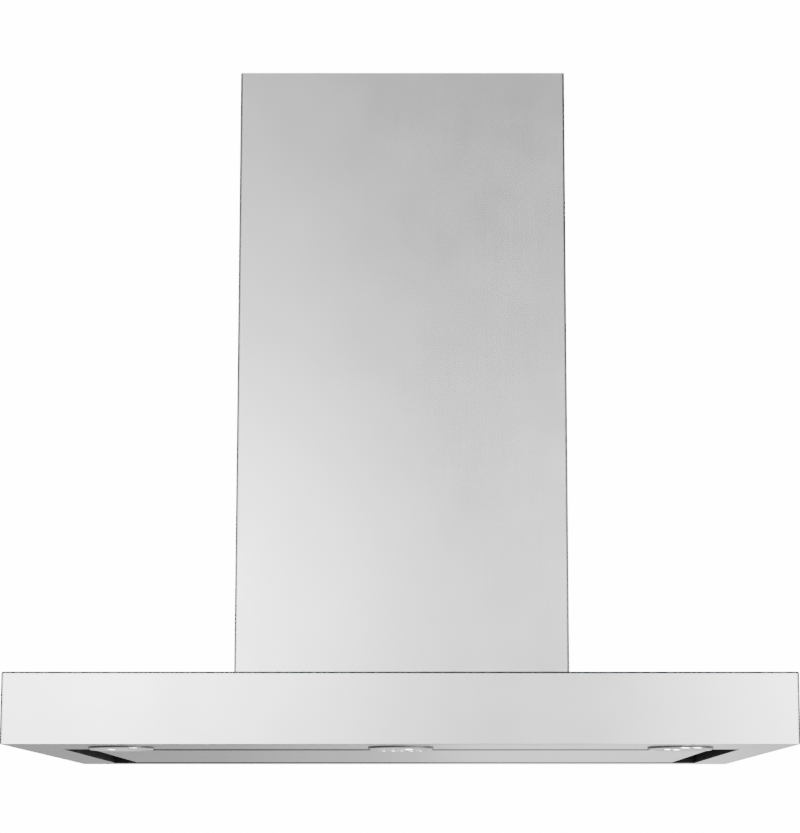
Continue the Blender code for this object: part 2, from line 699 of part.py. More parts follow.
def scroll_ring(extra, neck_top):
    """Outline of the scroll in Y and Z: a spiral that grows round the wheel and a straight neck."""
    steps = 16
    ring = []
    for step in range(steps + 1):
        share = step / steps
        angle = SCROLL_START + share * (2 * math.pi - SCROLL_START)
        radius = SCROLL_START_R + share * (SCROLL_END_R - SCROLL_START_R) + extra
        ring.append((WHEEL_Y + radius * math.cos(angle), WHEEL_Z + radius * math.sin(angle)))
    neck_far = WHEEL_Y + SCROLL_END_R + extra
    neck_near = WHEEL_Y + SCROLL_START_R * math.cos(SCROLL_START) - extra
    ring[0] = (neck_near, ring[0][1])
    ring += [(neck_far, neck_top), (neck_near, neck_top)]
    return ring


def scroll_housing():
    """Scroll with a round inlet in each side and its outlet neck under the casing's outlet."""
    top = CASING_TOP - CASING_T - GAP
    scroll = as_mesh(outline("scroll_housing", [scroll_ring(SHEET, top)], 2 * SCROLL_HALF,
                             "galvanised", plane="YZ"))
    inside = as_mesh(outline("scroll_inside", [scroll_ring(0, top + 0.010)], 2 * (SCROLL_HALF - SHEET),
                             None, plane="YZ", group=TOOLS))
    cut(scroll, inside)
    inlets = cylinder("scroll_inlets", INLET_R, (-SCROLL_HALF - 0.010, WHEEL_Y, WHEEL_Z),
                      (SCROLL_HALF + 0.010, WHEEL_Y, WHEEL_Z), group=TOOLS, sides=32)
    cut(scroll, inlets)


def impeller():
    """Drum wheel: centre plate with a hub, two end rings and forward-curved blades."""
    blade_count = 14
    axis = (0, WHEEL_Y, WHEEL_Z)
    rings = [circle(WHEEL_R, sides=28), circle(SHAFT_R + 0.00005, sides=16)]
    wheel = as_mesh(outline("impeller", rings, 0.0020, "black_plastic", axis, "YZ"))
    hub_rings = [circle(0.0110, sides=16), circle(SHAFT_R + 0.00005, sides=16)]
    hub = as_mesh(outline("impeller_hub", hub_rings, 0.0140, None, (0.0060, WHEEL_Y, WHEEL_Z), "YZ", TOOLS))
    fuse(wheel, hub)
    blades = bpy.data.meshes.new("impeller_blades")
    shape = bmesh.new()
    blade_size = Matrix.Diagonal((2 * WHEEL_HALF - 0.001, WHEEL_R - WHEEL_BORE_R - 0.001, 0.0012, 1.0))
    for number in range(blade_count):
        turn = Matrix.Rotation(2 * math.pi * number / blade_count, 4, "X")
        lean = Matrix.Rotation(math.radians(28), 4, "X")
        out = Matrix.Translation((0, (WHEEL_R + WHEEL_BORE_R) / 2, 0))
        bmesh.ops.create_cube(shape, size=1.0, matrix=turn @ out @ lean @ blade_size)
    shape.to_mesh(blades)
    shape.free()
    blade_set = add_object("impeller_blades", blades, None, TOOLS, axis)
    fuse(wheel, blade_set)
    for sign in (-1, 1):
        end_rings = [circle(WHEEL_R, sides=28), circle(WHEEL_BORE_R, sides=28)]
        end_ring = as_mesh(outline(f"impeller_ring_{side_name(sign)}", end_rings, 0.0020, None,
                                   (sign * (WHEEL_HALF - 0.001), WHEEL_Y, WHEEL_Z), "YZ", TOOLS))
        fuse(wheel, end_ring)


def motor():
    """Motor that reaches into the wheel through the left inlet, its shaft and its three-armed bracket."""
    body = turned("motor", [(0, 0.0490), (0.0160, 0.0490), (0.0200, 0.0440), (MOTOR_R, 0.0400),
                            (MOTOR_R, -0.0420), (0.0300, -0.0490), (0, -0.0490)], "motor_steel",
                  (-0.0610, WHEEL_Y, WHEEL_Z), sides=24, closed=False)
    body.rotation_euler = (0, math.pi / 2, 0)
    cylinder("motor_shaft", SHAFT_R, (-0.0120 + GAP, WHEEL_Y, WHEEL_Z), (0.0180, WHEEL_Y, WHEEL_Z),
             "motor_steel", sides=16)
    arm_half_angle = math.radians(11)
    ring = []
    sides = 48
    for number in range(sides):
        angle = 2 * math.pi * number / sides
        off_arm = abs((angle + math.pi / 3) % (2 * math.pi / 3) - math.pi / 3)
        radius = 0.0690 if off_arm < arm_half_angle else 0.0500
        ring.append((radius * math.cos(angle), radius * math.sin(angle)))
    outline("motor_bracket", [ring, circle(MOTOR_R + GAP, sides=32)], PLATE, "galvanised",
            (-SCROLL_HALF - SHEET - GAP - PLATE / 2, WHEEL_Y, WHEEL_Z), "YZ")


def outlet_collar():
    """Round duct collar with a flange below and an inner lip that the damper flaps rest on."""
    base = CASING_TOP + GAP
    inner = COLLAR_R - COLLAR_T
    lip_top = DAMPER_Z - 0.0038 - FLAP_T - GAP
    profile = [(COLLAR_R, COLLAR_TOP), (COLLAR_R, base + 0.0015), (0.0900, base + 0.0015), (0.0900, base),
               (inner, base), (inner, lip_top - 0.0012), (FLAP_R - 0.0020, lip_top - 0.0012),
               (FLAP_R - 0.0020, lip_top), (inner, lip_top), (inner, COLLAR_TOP)]
    turned("outlet_collar", profile, "galvanised", sides=32)
    cylinder("damper_rod", DAMPER_ROD_R, (-inner + GAP, 0, DAMPER_Z), (inner - GAP, 0, DAMPER_Z),
             "galvanised", sides=12)


def damper_flaps():
    """Two half-round flaps that hang on the rod by knuckles, the rear one turned half round."""
    for sign in (-1, 1):
        steps = 20
        arc = [(FLAP_R * math.cos(math.pi * step / steps), -FLAP_R * math.sin(math.pi * step / steps))
               for step in range(steps + 1)]
        half = [(u, min(v, -0.0006)) for u, v in arc]
        plate_z = -0.0038 - FLAP_T / 2
        flap = as_mesh(outline(f"damper_flap_{end_name(sign)}", [half], FLAP_T, "galvanised",
                               (0, 0, plate_z)))
        flap.data.transform(Matrix.Translation((0, 0, plate_z)))
        flap.location = (0, 0, DAMPER_Z)
        flap.rotation_euler = (0, 0, math.pi if sign > 0 else 0)
        for place in (-0.054, 0.026):
            x = place * (1 if sign < 0 else -1)
            knuckle = cylinder(f"knuckle_{end_name(sign)}_{side_name(place)}", KNUCKLE_R,
                               (x - 0.006, 0, DAMPER_Z), (x + 0.006, 0, DAMPER_Z), group=TOOLS, sides=16)
            y0 = 0.0 if sign > 0 else -KNUCKLE_R
            y1 = KNUCKLE_R if sign > 0 else 0.0
            web = box(f"web_{end_name(sign)}_{side_name(place)}",
                      (x - 0.006, y0 + (0.0006 if sign > 0 else 0), DAMPER_Z - 0.0045),
                      (x + 0.006, y1 - (0.0006 if sign < 0 else 0), DAMPER_Z - 0.0008), group=TOOLS)
            bore = cylinder(f"knuckle_bore_{end_name(sign)}_{side_name(place)}", DAMPER_ROD_R + GAP,
                            (x - 0.010, 0, DAMPER_Z), (x + 0.010, 0, DAMPER_Z), group=TOOLS, sides=12)
            fuse(flap, web)
            fuse(flap, knuckle)
            cut(flap, bore)


# Mains connection ---------------------------------------------------------------------------------

def junction_box():
    """Junction box on the casing's left side, with its cover and the supply gland in its top."""
    back = -CASING_X - GAP
    front = back - 0.0330
    low = -0.620
    high = -0.540
    half = 0.045
    item = box("junction_box", (front, -half, low), (back, half, high), "galvanised")
    shape = bmesh.new()
    shape.from_mesh(item.data)
    lost = [face for face in shape.faces if face.normal.x < -0.9]
    bmesh.ops.delete(shape, geom=lost, context="FACES")
    shape.to_mesh(item.data)
    shape.free()
    shell = item.modifiers.new("sheet", "SOLIDIFY")
    shell.thickness = SHEET
    shell.offset = -1
    shell.use_even_offset = True
    middle = (front + back) / 2
    knockout = cylinder("knockout", 0.0083, (middle, 0, high - 0.010), (middle, 0, high + 0.010),
                        group=TOOLS, sides=20)
    cut(item, knockout)
    box("junction_cover", (front - GAP - SHEET, -half, low), (front - GAP, half, high), "galvanised")
    gland = [(0.0080, high + 0.0090), (0.0080, high + 0.0040), (0.0110, high + 0.0040),
             (0.0110, high + GAP), (0.0080, high + GAP), (0.0080, high - 0.0070),
             (0.0050, high - 0.0070), (0.0050, high + 0.0090)]
    turned("supply_gland", gland, "black_plastic", (middle, 0, 0), sides=16)


clear_scene()
PARTS = new_collection("island_range_hood")
TOOLS = new_collection("cutters")

ceiling_plate()
legs()
chimney_covers()
canopy_shell()
bottom_frame()
cavity_wall()
filter_shelf()
filters()
suction_panel()
panel_hinges()
panel_magnet()
lamps()
control()
lamp_driver()
leads()
blower_casing()
scroll_housing()
impeller()
motor()
outlet_collar()
damper_flaps()
junction_box()
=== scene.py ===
"""Looks of the island range hood: finishes, fine detail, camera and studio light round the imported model."""
import json
import math

import bmesh
import bpy
from mathutils import Matrix, Vector


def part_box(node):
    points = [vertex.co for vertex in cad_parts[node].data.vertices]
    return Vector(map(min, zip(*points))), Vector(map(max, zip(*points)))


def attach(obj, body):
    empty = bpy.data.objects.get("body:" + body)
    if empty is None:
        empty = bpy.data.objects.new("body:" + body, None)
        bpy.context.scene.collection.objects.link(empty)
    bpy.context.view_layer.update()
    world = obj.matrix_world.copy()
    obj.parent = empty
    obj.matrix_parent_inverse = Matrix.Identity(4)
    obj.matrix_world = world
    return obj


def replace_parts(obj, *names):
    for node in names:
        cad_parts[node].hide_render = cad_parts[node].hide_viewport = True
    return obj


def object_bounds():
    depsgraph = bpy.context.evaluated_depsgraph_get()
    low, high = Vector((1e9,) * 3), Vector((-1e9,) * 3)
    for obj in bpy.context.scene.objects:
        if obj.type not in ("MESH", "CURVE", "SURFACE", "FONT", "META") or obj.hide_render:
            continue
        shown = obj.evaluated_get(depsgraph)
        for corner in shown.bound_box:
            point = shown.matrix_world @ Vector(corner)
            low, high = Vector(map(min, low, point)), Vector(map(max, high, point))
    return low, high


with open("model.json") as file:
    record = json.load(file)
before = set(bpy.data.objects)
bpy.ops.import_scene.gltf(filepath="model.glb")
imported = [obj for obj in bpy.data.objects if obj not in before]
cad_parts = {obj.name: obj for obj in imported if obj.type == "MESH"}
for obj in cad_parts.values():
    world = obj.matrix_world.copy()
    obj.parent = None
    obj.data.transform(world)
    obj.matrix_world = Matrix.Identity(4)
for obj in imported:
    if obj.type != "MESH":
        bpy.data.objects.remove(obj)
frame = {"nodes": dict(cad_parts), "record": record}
CAD_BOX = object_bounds()

FLOOR_DROP = 1.67           # from the hood's underside to the kitchen floor
CAMERA_LENS = 104.75
CAMERA_SHIFT = (-0.0293, 0.08)
CAMERA_TILT = math.radians(8.489)
CAMERA_FROM_FRONT = 2.7752  # in front of the canopy's front face
CAMERA_BELOW_TOP = 0.9685   # under the ceiling
CAMERA_RIGHT = 0.0277


# Node helpers -------------------------------------------------------------------------------------

class Finish:
    """A material's node tree with short calls for the nodes that the finishes share."""

    def __init__(self, name, colour, metallic, roughness):
        self.material = bpy.data.materials.new(name)
        self.material.use_nodes = True
        self.tree = self.material.node_tree
        self.shader = self.tree.nodes["Principled BSDF"]
        self.colour = colour
        self.roughness = roughness
        self.set("Base Color", (*colour, 1.0))
        self.set("Metallic", metallic)
        self.set("Roughness", roughness)

    def set(self, socket, value):
        self.shader.inputs[socket].default_value = value

    def node(self, kind, **values):
        made = self.tree.nodes.new(kind)
        for key, value in values.items():
            setattr(made, key, value)
        return made

    def link(self, out, into):
        self.tree.links.new(out, into)

    def coordinates(self, scale, output="Object"):
        """Object coordinates stretched by a scale for each axis."""
        source = self.node("ShaderNodeTexCoord")
        mapping = self.node("ShaderNodeMapping")
        mapping.inputs["Scale"].default_value = scale
        self.link(source.outputs[output], mapping.inputs["Vector"])
        return mapping.outputs["Vector"]

    def noise(self, scale, detail=2.0, rough=0.5, size=1.0, output="Object"):
        texture = self.node("ShaderNodeTexNoise")
        texture.inputs["Scale"].default_value = size
        texture.inputs["Detail"].default_value = detail
        texture.inputs["Roughness"].default_value = rough
        self.link(self.coordinates(scale, output), texture.inputs["Vector"])
        return texture.outputs["Fac"]

    def ramp(self, value, low, high, from_low=0.3, from_high=0.7):
        """A value spread from its usual range to another range."""
        made = self.node("ShaderNodeMapRange")
        made.inputs["From Min"].default_value = from_low
        made.inputs["From Max"].default_value = from_high
        made.inputs["To Min"].default_value = low
        made.inputs["To Max"].default_value = high
        self.link(value, made.inputs["Value"])
        return made.outputs["Result"]

    def math(self, operation, first, second):
        made = self.node("ShaderNodeMath", operation=operation)
        for socket, value in zip(made.inputs, (first, second)):
            if isinstance(value, (int, float)):
                socket.default_value = value
            else:
                self.link(value, socket)
        return made.outputs["Value"]

    def mix(self, factor, first, second):
        """Mixed value of two sockets."""
        made = self.node("ShaderNodeMix", data_type="FLOAT")
        self.link(factor, made.inputs["Factor"])
        self.link(first, made.inputs["A"])
        self.link(second, made.inputs["B"])
        return made.outputs["Result"]

    def tint(self, value, dark, bright):
        """Base colour between a darker and a brighter shade of the finish's own colour."""
        made = self.node("ShaderNodeMix", data_type="RGBA")
        made.inputs["A"].default_value = (*[c * dark for c in self.colour], 1.0)
        made.inputs["B"].default_value = (*[c * bright for c in self.colour], 1.0)
        self.link(value, made.inputs["Factor"])
        self.link(made.outputs["Result"], self.shader.inputs["Base Color"])

    def bump(self, height, strength, distance):
        made = self.node("ShaderNodeBump")
        made.inputs["Strength"].default_value = strength
        made.inputs["Distance"].default_value = distance
        self.link(height, made.inputs["Height"])
        self.link(made.outputs["Normal"], self.shader.inputs["Normal"])

    def axis_sizes(self):
        """Sizes of the object-space normal along each axis."""
        source = self.node("ShaderNodeTexCoord")
        split = self.node("ShaderNodeSeparateXYZ")
        self.link(source.outputs["Normal"], split.inputs["Vector"])
        return [self.math("ABSOLUTE", split.outputs[k], 0.0) for k in "XYZ"]

    def fold_painted_shade_mask(self):
        """1 where the surface turns from one side of the hood to another, 0 on its flat sides: where the folds
        get a painted dark reflection.
        """
        x, y, z = self.axis_sizes()
        largest = self.math("MAXIMUM", self.math("MAXIMUM", x, y), z)
        return self.ramp(largest, 1.0, 0.0, 0.955, 0.993)

    def corner_painted_shade_mask(self, half_x, half_y, top):
        """1 on the narrow band beside each upright fold, and beside the fold under a top face: where a painted
        dark reflection goes.
        """
        source = self.node("ShaderNodeTexCoord")
        place = self.node("ShaderNodeSeparateXYZ")
        self.link(source.outputs["Object"], place.inputs["Vector"])
        facing = self.axis_sizes()
        mask = None
        for axis, across, half in (("X", 1, half_x), ("Y", 0, half_y)):
            size = self.math("ABSOLUTE", place.outputs[axis], 0.0)
            near = self.ramp(size, 0.0, 1.0, half - FOLD_SHADE_BAND, half - 0.6 * FOLD_SHADE_BAND)
            band = self.math("MULTIPLY", near, self.math("GREATER_THAN", facing[across], 0.5))
            mask = self.math("MAXIMUM", mask, band) if mask else band
        if top is not None:
            near = self.ramp(place.outputs["Z"], 0.0, 1.0, top - 0.85 * FOLD_SHADE_BAND, top - 0.5 * FOLD_SHADE_BAND)
            band = self.math("MULTIPLY", near, self.math("LESS_THAN", facing[2], 0.5))
            mask = self.math("MAXIMUM", mask, band)
        return mask

    def shade(self, mask, colour):
        """Lays a colour over the base colour where the mask is 1."""
        made = self.node("ShaderNodeMix", data_type="RGBA")
        made.inputs["B"].default_value = (*colour, 1.0)
        self.link(mask, made.inputs["Factor"])
        self.link(self.shader.inputs["Base Color"].links[0].from_socket, made.inputs["A"])
        self.link(made.outputs["Result"], self.shader.inputs["Base Color"])

    def side_mask(self, axis):
        """1 on faces that look along one object axis, 0 elsewhere."""
        source = self.node("ShaderNodeTexCoord")
        split = self.node("ShaderNodeSeparateXYZ")
        self.link(source.outputs["Normal"], split.inputs["Vector"])
        size = self.math("ABSOLUTE", split.outputs[axis], 0.0)
        return self.math("GREATER_THAN", size, 0.7)


# Finishes -----------------------------------------------------------------------------------------

GRAIN_LONG = 7.0
GRAIN_FINE = 2600.0
# Painted dark reflection along the folds and the band beside them
FOLD_PAINTED_SHADE_COLOUR = (0.07, 0.07, 0.074)
FOLD_SHADE_BAND = 0.0036          # from the outer corner, over the fold and the sheet beside it, which get a painted dark reflection
# Painted shade on the front and rear cut edges, standing in for the shade in the slots
SLOT_SHADE_COLOUR = (0.010, 0.010, 0.011)


def grain_scale(axis):
    """Mapping scale of a grain that runs along one axis."""
    return tuple(GRAIN_LONG if axis == k else GRAIN_FINE for k in "XYZ")


def brushed_steel(name, colour, roughness, along, side_axis, side_along, painted_slot_shade=False,
                  corners=None):
    """Satin stainless: fine grain along one axis, and along another on the faces of side_axis.

    Folds are painted darker as a painted dark reflection, and so is the band beside them where their
    corners are given as half the width, half the depth and the top. Thin sheet can have painted shade on
    its cut edges to the front and rear, standing in for the shade in the slots.
    """
    made = Finish(name, colour, 1.0, roughness)
    main = made.noise(grain_scale(along), detail=3.0, rough=0.6)
    side = made.noise(grain_scale(side_along), detail=3.0, rough=0.6)
    grain = made.mix(made.side_mask(side_axis), main, side)
    cloud = made.noise((2.6, 2.6, 2.6), detail=4.0, rough=0.55)
    smudge = made.noise((11.0, 11.0, 11.0), detail=5.0, rough=0.62)
    tone = made.math("ADD", made.math("MULTIPLY", grain, 0.6), made.math("MULTIPLY", cloud, 0.4))
    made.tint(tone, 0.965, 1.03)
    rough = made.math("ADD", made.ramp(grain, -0.022, 0.022), made.ramp(cloud, -0.012, 0.012))
    rough = made.math("ADD", rough, made.ramp(smudge, -0.012, 0.016))
    made.link(made.math("ADD", rough, roughness), made.shader.inputs["Roughness"])
    made.bump(grain, 0.05, 0.00008)
    # Painted dark reflection on the folds and on the band beside them
    made.shade(made.fold_painted_shade_mask(), FOLD_PAINTED_SHADE_COLOUR)
    if corners:
        made.shade(made.corner_painted_shade_mask(*corners), FOLD_PAINTED_SHADE_COLOUR)
    if painted_slot_shade:
        # Painted shade on faces looking front and rear: the cut edges beside the slots
        made.shade(made.ramp(made.axis_sizes()[1], 0.0, 1.0, 0.25, 0.6), SLOT_SHADE_COLOUR)
    return made.material


def galvanised(name):
    """Zinc-plated sheet: spangle of flat crystals, cloudy tone and small scuffs."""
    made = Finish(name, (0.50, 0.52, 0.54), 1.0, 0.42)
    cells = made.node("ShaderNodeTexVoronoi", feature="F1")
    cells.inputs["Scale"].default_value = 130.0
    made.link(made.coordinates((1.0, 1.0, 1.0)), cells.inputs["Vector"])
    split = made.node("ShaderNodeSeparateColor")
    made.link(cells.outputs["Color"], split.inputs["Color"])
    spangle = split.outputs["Red"]
    cloud = made.noise((9.0, 9.0, 9.0), detail=4.0)
    made.tint(made.mix(cloud, spangle, cloud), 0.86, 1.10)
    made.link(made.ramp(spangle, 0.34, 0.50, 0.0, 1.0), made.shader.inputs["Roughness"])
    made.bump(made.noise((420.0, 420.0, 420.0), detail=3.0), 0.10, 0.0002)
    return made.material


def chrome(name, roughness=0.07):
    """Polished plating with hairline turning marks and faint clouding."""
    made = Finish(name, (0.80, 0.80, 0.82), 1.0, roughness)
    marks = made.noise((60.0, 60.0, 2400.0), detail=2.0)
    haze = made.noise((55.0, 55.0, 55.0), detail=5.0, rough=0.65)
    made.link(made.math("ADD", made.ramp(haze, -0.02, 0.05), roughness), made.shader.inputs["Roughness"])
    made.tint(haze, 0.93, 1.03)
    made.bump(marks, 0.04, 0.00004)
    return made.material


def aluminium(name):
    """Rolled aluminium with a soft directional grain."""
    made = Finish(name, (0.72, 0.73, 0.74), 1.0, 0.34)
    grain = made.noise((30.0, 1300.0, 1300.0), detail=3.0)
    cloud = made.noise((14.0, 14.0, 14.0), detail=4.0)
    made.tint(made.mix(cloud, grain, cloud), 0.88, 1.06)
    made.link(made.ramp(grain, 0.27, 0.43), made.shader.inputs["Roughness"])
    made.bump(grain, 0.10, 0.00008)
    return made.material


def moulded(name, colour, roughness, grain_size=1400.0):
    """Injection-moulded plastic: spark-eroded grain, faint flow clouds and handling marks."""
    made = Finish(name, colour, 0.0, roughness)
    grain = made.noise((grain_size,) * 3, detail=2.0)
    cloud = made.noise((22.0, 22.0, 22.0), detail=4.0)
    made.tint(cloud, 0.88, 1.14)
    made.link(made.ramp(made.mix(cloud, grain, cloud), roughness - 0.07, roughness + 0.08),
              made.shader.inputs["Roughness"])
    made.bump(grain, 0.22, 0.00012)
    return made.material


def black_enamel_and_slot_shade(name):
    """Matt black coating with orange peel, a little worn; darker than paint and nearly without sheen, partly
    painted shade for the cavity seen through the slots.
    """
    # Near-black colour: partly the coating's own black, partly painted shade behind the slots
    made = Finish(name, (0.0035, 0.0035, 0.0038), 0.0, 0.70)
    made.set("Specular IOR Level", 0.10)
    peel = made.noise((700.0, 700.0, 700.0), detail=2.0)
    cloud = made.noise((18.0, 18.0, 18.0), detail=5.0)
    made.tint(cloud, 0.7, 1.5)
    made.link(made.ramp(cloud, 0.52, 0.72), made.shader.inputs["Roughness"])
    made.bump(peel, 0.15, 0.0002)
    return made.material


def lens_glass(name):
    """Satin lamp cover: clear body with an etched face."""
    made = Finish(name, (0.93, 0.94, 0.93), 0.0, 0.24)
    etch = made.noise((1800.0, 1800.0, 1800.0), detail=2.0)
    cloud = made.noise((70.0, 70.0, 70.0), detail=3.0)
    made.set("Transmission Weight", 0.82)
    made.set("IOR", 1.49)
    made.tint(cloud, 0.95, 1.03)
    made.link(made.ramp(etch, 0.18, 0.32), made.shader.inputs["Roughness"])
    made.bump(etch, 0.12, 0.00006)
    return made.material


def motor_can(name):
    """Turned steel can with fine rings along its axis."""
    made = Finish(name, (0.34, 0.35, 0.37), 1.0, 0.38)
    rings = made.noise((900.0, 26.0, 26.0), detail=3.0)
    cloud = made.noise((16.0, 16.0, 16.0), detail=4.0)
    made.tint(made.mix(cloud, rings, cloud), 0.82, 1.12)
    made.link(made.ramp(rings, 0.30, 0.48), made.shader.inputs["Roughness"])
    made.bump(rings, 0.12, 0.0001)
    return made.material


CANOPY_LOW, CANOPY_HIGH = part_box("canopy_shell")
CANOPY_SIZE = CANOPY_HIGH - CANOPY_LOW
CANOPY_TOP = CANOPY_HIGH.z
COVER_SIZE = Vector((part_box("lower_cover_front")[1].x * 2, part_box("lower_cover_rear")[1].y * 2, 0.0))

MATERIALS = {
    "stainless_cover": brushed_steel("stainless_cover", (0.60, 0.60, 0.61), 0.20, "Z", "Z", "X",
                                     corners=(COVER_SIZE.x / 2, COVER_SIZE.y / 2, None)),
    "stainless_canopy": brushed_steel("stainless_canopy", (0.62, 0.62, 0.63), 0.20, "X", "X", "Y",
                                      corners=(CANOPY_SIZE.x / 2, CANOPY_SIZE.y / 2, CANOPY_TOP)),
    "galvanised_frame": galvanised("galvanised_frame"),
    "filter_aluminium": aluminium("filter_aluminium"),
    "latch_plastic": moulded("latch_plastic", (0.16, 0.165, 0.17), 0.46),
    "chrome": chrome("chrome"),
    "lamp_glass": lens_glass("lamp_glass"),
    "cable_rubber": moulded("cable_rubber", (0.045, 0.045, 0.05), 0.56, 900.0),
    "button_metal": chrome("button_metal", 0.10),
    "dark_cavity": black_enamel_and_slot_shade("dark_cavity"),
    "black_plastic": moulded("black_plastic", (0.022, 0.022, 0.023), 0.42),
    "driver_plastic": moulded("driver_plastic", (0.74, 0.74, 0.72), 0.40),
    "motor_steel": motor_can("motor_steel"),
}


# Painted shade on the front and rear cut edges of these nodes, standing in for the shade in the slots
SLOT_SHADE_NODES = ("suction_panel", "bottom_frame")
SLOT_SHADE_STEEL = brushed_steel("stainless_underside", (0.62, 0.62, 0.63), 0.20, "X", "X", "Y",
                         painted_slot_shade=True)


def dress(item, slot):
    """Gives a piece the finish of one of the record's slots."""
    item.data.materials.clear()
    item.data.materials.append(MATERIALS[slot])


def soften(item, width, segments=2):
    """Rounds the edges of a CAD node or a piece."""
    weld = item.modifiers.new("joined_edges", "WELD")
    weld.merge_threshold = 0.00002
    bevel = item.modifiers.new("soft_edges", "BEVEL")
    bevel.width = width
    bevel.segments = segments
    bevel.limit_method = "ANGLE"
    bevel.angle_limit = math.radians(40)
    bevel.harden_normals = False


def dress_frame():
    for entry in frame["record"]["subparts"]:
        node = frame["nodes"][entry["node"]]
        for index in range(max(1, len(node.material_slots))):
            if index >= len(node.material_slots):
                node.data.materials.append(None)
            node.material_slots[index].material = MATERIALS[entry["material_slot"]]
            if entry["node"] in SLOT_SHADE_NODES:
                node.material_slots[index].material = SLOT_SHADE_STEEL


# Fine detail --------------------------------------------------------------------------------------

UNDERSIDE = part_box("suction_panel")[0].z
FITTING_Y = -0.266          # row of the three round fittings
FITTING_X = 0.328           # from the middle fitting to each lamp
FITTING_R = 0.0375
NECK_R = 0.0325
LENS_R = 0.0292
FITTING_SEAT = UNDERSIDE - 0.0003       # a fitting's rim, a hair under the sheet
CONTROL_FACE = FITTING_SEAT - 0.0035
COVER_SHEET = 0.0012
LEG_BOLT_X, LEG_BOLT_Y = 0.178, 0.156
LEG_BOLT_HEIGHTS = (-0.355, -0.305)
UPPER_SCREW_HEIGHT = -0.0140
LOWER_SCREW_HEIGHTS = (-0.752, -0.395, -0.030)
COLLAR_SCREW_RING_R = 0.0835
COLLAR_FLANGE_TOP = -0.4622
WHEEL_AXIS_Y, WHEEL_AXIS_Z = -0.050, -0.625
MOTOR_SCREW_RING_R = 0.0635
DOWN = Matrix.Rotation(math.pi, 4, "X")
UP = Matrix.Identity(4)
LEFTWARDS = Matrix.Rotation(-math.pi / 2, 4, "Y")
RIGHTWARDS = Matrix.Rotation(math.pi / 2, 4, "Y")
FORWARDS = Matrix.Rotation(math.pi / 2, 4, "X")
BACKWARDS = Matrix.Rotation(-math.pi / 2, 4, "X")


def at(place, turn=UP):
    return Matrix.Translation(place) @ turn


def lathe(shape, profile, place=UP, sides=48, outline=None):
    """Turns a profile of (radius, height) about Z; an outline gives a radius for each angle.

    Points whose radius is negative follow the outline, scaled by the radius without its sign.
    """
    rings = []
    for radius, height in profile:
        if radius == 0:
            rings.append([shape.verts.new(place @ Vector((0, 0, height)))])
            continue
        ring = []
        for step in range(sides):
            angle = 2 * math.pi * step / sides
            reach = -radius * outline(angle) if radius < 0 else radius
            ring.append(shape.verts.new(place @ Vector((reach * math.cos(angle), reach * math.sin(angle),
                                                        height))))
        rings.append(ring)
    for ring, following in zip(rings, rings[1:]):
        for step in range(sides):
            after = (step + 1) % sides
            if len(ring) == 1:
                shape.faces.new((ring[0], following[after], following[step]))
            elif len(following) == 1:
                shape.faces.new((ring[step], ring[after], following[0]))
            else:
                shape.faces.new((ring[step], ring[after], following[after], following[step]))


def block(shape, low, high, place=UP):
    """A box between two corners."""
    low, high = Vector(low), Vector(high)
    size = Matrix.Diagonal((*(high - low), 1.0))
    bmesh.ops.create_cube(shape, size=1.0, matrix=place @ Matrix.Translation((low + high) / 2) @ size)


def cross_recess(angle):
    """Radius of a cross-shaped recess at an angle."""
    length, half_width = 1.0, 0.30
    across, along = abs(math.cos(angle)), abs(math.sin(angle))
    first = min(length / max(across, 0.001), half_width / max(along, 0.001))
    second = min(length / max(along, 0.001), half_width / max(across, 0.001))
    return max(first, second)


def hexagon(angle):
    """Radius of a hexagon at an angle."""
    return 1.0 / math.cos((angle + math.pi / 6) % (math.pi / 3) - math.pi / 6)


def pan_head(shape, place, radius=0.0028, height=0.0017):
    """Pan head screw with a cross recess."""
    lathe(shape, [(0, 0), (radius, 0), (radius, height * 0.45), (radius * 0.93, height * 0.74),
                  (radius * 0.76, height * 0.94), (radius * 0.62, height), (-radius * 0.52, height),
                  (-radius * 0.36, height * 0.35), (0, height * 0.22)], place, 40, cross_recess)


def flat_head(shape, place, radius=0.0030, height=0.0004):
    """Countersunk screw, just proud of the sheet."""
    lathe(shape, [(0, 0), (radius, 0), (radius * 0.97, height), (-radius * 0.55, height),
                  (-radius * 0.40, height * 0.2), (0, height * 0.2)], place, 40, cross_recess)


def hex_bolt(shape, place, radius=0.0045, height=0.0030):
    """Hexagon head on a washer."""
    washer = 0.0007
    lathe(shape, [(0, 0), (radius * 1.35, 0), (radius * 1.35, washer), (-radius * 0.95, washer),
                  (-radius * 0.95, height * 0.85), (radius * 0.86, height), (0, height)], place, 36, hexagon)


def rivet(shape, place, radius=0.0022, height=0.0007):
    """Blind rivet: shallow dome with the broken mandrel in its middle."""
    lathe(shape, [(0, 0), (radius, 0), (radius * 0.94, height * 0.5), (radius * 0.74, height * 0.9),
                  (radius * 0.50, height), (radius * 0.42, height * 0.5), (radius * 0.30, height * 0.5),
                  (radius * 0.20, height * 0.85), (0, height * 0.9)], place, 20)


def piece(name, shape, slot, body, smooth_angle=38):
    """An added piece that rides on a body and takes the finish of one of the record's slots."""
    mesh = bpy.data.meshes.new(name)
    bmesh.ops.recalc_face_normals(shape, faces=shape.faces)
    shape.to_mesh(mesh)
    shape.free()
    mesh.shade_smooth()
    mesh.set_sharp_from_angle(angle=math.radians(smooth_angle))
    item = bpy.data.objects.new(name, mesh)
    bpy.context.scene.collection.objects.link(item)
    dress(item, slot)
    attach(item, body)
    return item


